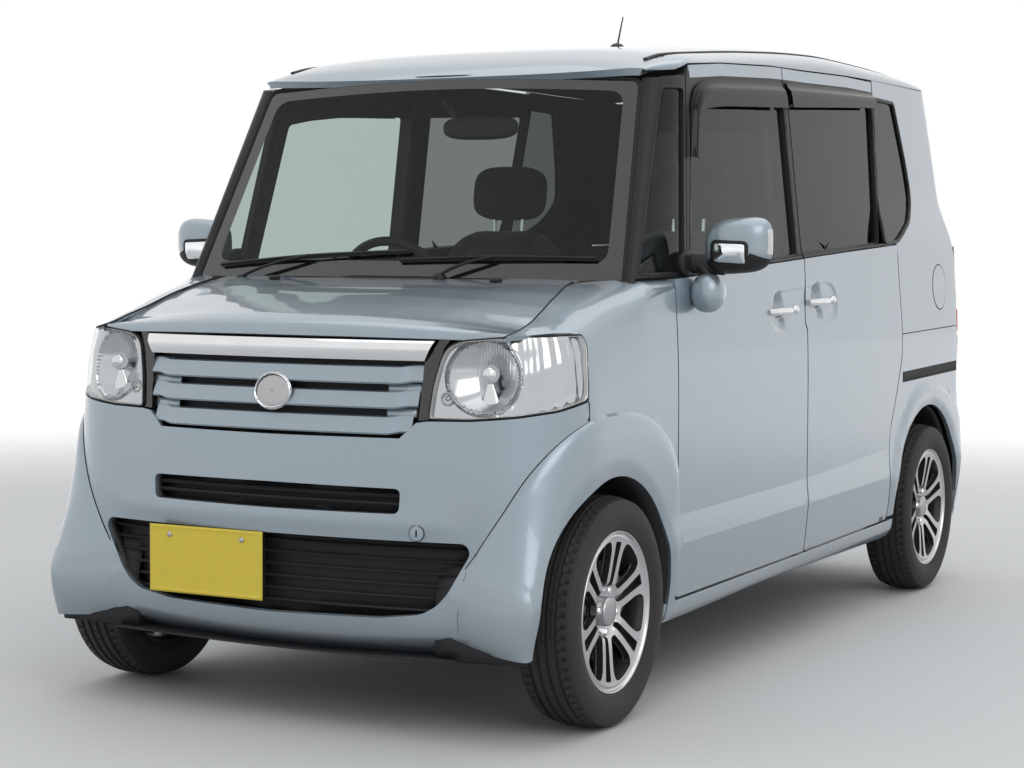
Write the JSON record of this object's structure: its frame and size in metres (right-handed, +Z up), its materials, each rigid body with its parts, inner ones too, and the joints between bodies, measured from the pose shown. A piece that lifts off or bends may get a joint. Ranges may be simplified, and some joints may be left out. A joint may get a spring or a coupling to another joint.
{
  "type": "kei car",
  "caption": "Boxy four-wheeled passenger car with a tall glazed cabin, hinged front doors, bonnet and tailgate, steered front wheels and freely turning wheels.",
  "frame": {"origin": "bottom centre of the bounding box, on the ground midway between the bumpers and the sides", "axes": "+Z up, -Y toward the front, +X toward the left side of the car"},
  "size_m": [1.816, 3.4015, 1.8692],
  "materials": {
    "body_paint": "light silver-blue metallic under clear coat",
    "glass": "clear, slightly green",
    "dark_glass": "privacy tint",
    "lamp_lens": "clear",
    "lamp_bowl": "bright reflector",
    "chrome": "polished",
    "black_plastic": "grained black",
    "smoked_plastic": "smoked",
    "red_lens": "red lens",
    "cabin_plastic": "soft black",
    "seat_cloth": "woven",
    "rubber": "road tyre",
    "alloy": "machined face",
    "steel": "plain steel",
    "black_steel": "black chassis paint",
    "engine_metal": "cast",
    "plate": "yellow enamel, blank"
  },
  "bodies": {
    "body": {"antenna": "black_plastic", "dashboard": "cabin_plastic", "drive_shafts": "steel", "engine": "engine_metal", "exhaust": "steel", "floor_pan": "black_steel", "front_body": "black_steel", "front_bumper": "body_paint", "front_fenders": "body_paint", "front_grille": "body_paint", "front_plate": "plate", "front_seats": "seat_cloth", "front_suspension": "black_steel", "fuel_tank": "black_steel", "grille_bar": "chrome", "headlamp_housings": "lamp_bowl", "headlamp_lenses": "lamp_lens", "inner_mirror": "black_plastic", "lower_grille": "black_plastic", "rear_axle": "black_steel", "rear_bumper": "body_paint", "rear_doors": "body_paint", "rear_seat": "seat_cloth", "rear_visors": "smoked_plastic", "roof_panel": "body_paint", "side_frames": "body_paint", "side_glass": "dark_glass", "steering_wheel": "black_plastic", "tail_lamps": "red_lens", "windshield": "glass", "wipers": "black_plastic"},
    "door_left": {"door_front_left": "body_paint", "door_glass_left": "glass", "mirror_left": "body_paint", "visor_left": "smoked_plastic"},
    "door_right": {"door_front_right": "body_paint", "door_glass_right": "glass", "mirror_right": "body_paint", "visor_right": "smoked_plastic"},
    "hood": {"hood": "body_paint"},
    "tailgate": {"tailgate": "body_paint", "tailgate_glass": "dark_glass", "rear_wiper": "black_plastic", "rear_plate": "plate"},
    "knuckle_left": {"knuckle_left": "steel"},
    "knuckle_right": {"knuckle_right": "steel"},
    "road_wheel_front_left": {"wheel_front_left": "alloy", "tyre_front_left": "rubber"},
    "road_wheel_front_right": {"wheel_front_right": "alloy", "tyre_front_right": "rubber"},
    "road_wheel_rear_left": {"wheel_rear_left": "alloy", "tyre_rear_left": "rubber"},
    "road_wheel_rear_right": {"wheel_rear_right": "alloy", "tyre_rear_right": "rubber"}
  },
  "joints": [
    {"name": "steer_left", "type": "hinge", "parent": "body", "child": "knuckle_left", "pos_m": [0.612, -1.274, 0.15], "axis": [-0.1728, 0, 0.985], "range_deg": [-33, 33]},
    {"name": "steer_right", "type": "hinge", "parent": "body", "child": "knuckle_right", "pos_m": [-0.612, -1.274, 0.15], "axis": [0.1728, 0, 0.985], "range_deg": [-33, 33]},
    {"name": "door_left_hinge", "type": "hinge", "parent": "body", "child": "door_left", "pos_m": [0.728, -0.9045, 0.7], "axis": [0, 0, -1], "range_deg": [0, 65]},
    {"name": "door_right_hinge", "type": "hinge", "parent": "body", "child": "door_right", "pos_m": [-0.728, -0.9045, 0.7], "axis": [0, 0, 1], "range_deg": [0, 65]},
    {"name": "hood_hinge", "type": "hinge", "parent": "body", "child": "hood", "pos_m": [0, -1.128, 1.062], "axis": [-1, 0, 0], "range_deg": [0, 50]},
    {"name": "tailgate_hinge", "type": "hinge", "parent": "body", "child": "tailgate", "pos_m": [0, 1.5, 1.748], "axis": [1, 0, 0], "range_deg": [0, 80]},
    {"name": "spin_front_left", "type": "hinge", "parent": "knuckle_left", "child": "road_wheel_front_left", "pos_m": [0.6525, -1.274, 0.2785], "axis": [1, 0, 0], "continuous": true},
    {"name": "spin_front_right", "type": "hinge", "parent": "knuckle_right", "child": "road_wheel_front_right", "pos_m": [-0.6525, -1.274, 0.2785], "axis": [1, 0, 0], "continuous": true},
    {"name": "spin_rear_left", "type": "hinge", "parent": "body", "child": "road_wheel_rear_left", "pos_m": [0.6525, 1.246, 0.2785], "axis": [1, 0, 0], "continuous": true},
    {"name": "spin_rear_right", "type": "hinge", "parent": "body", "child": "road_wheel_rear_right", "pos_m": [-0.6525, 1.246, 0.2785], "axis": [1, 0, 0], "continuous": true}
  ],
  "couplings": [
    {"joint": "steer_right", "follows": "steer_left", "ratio": 1}
  ]
}
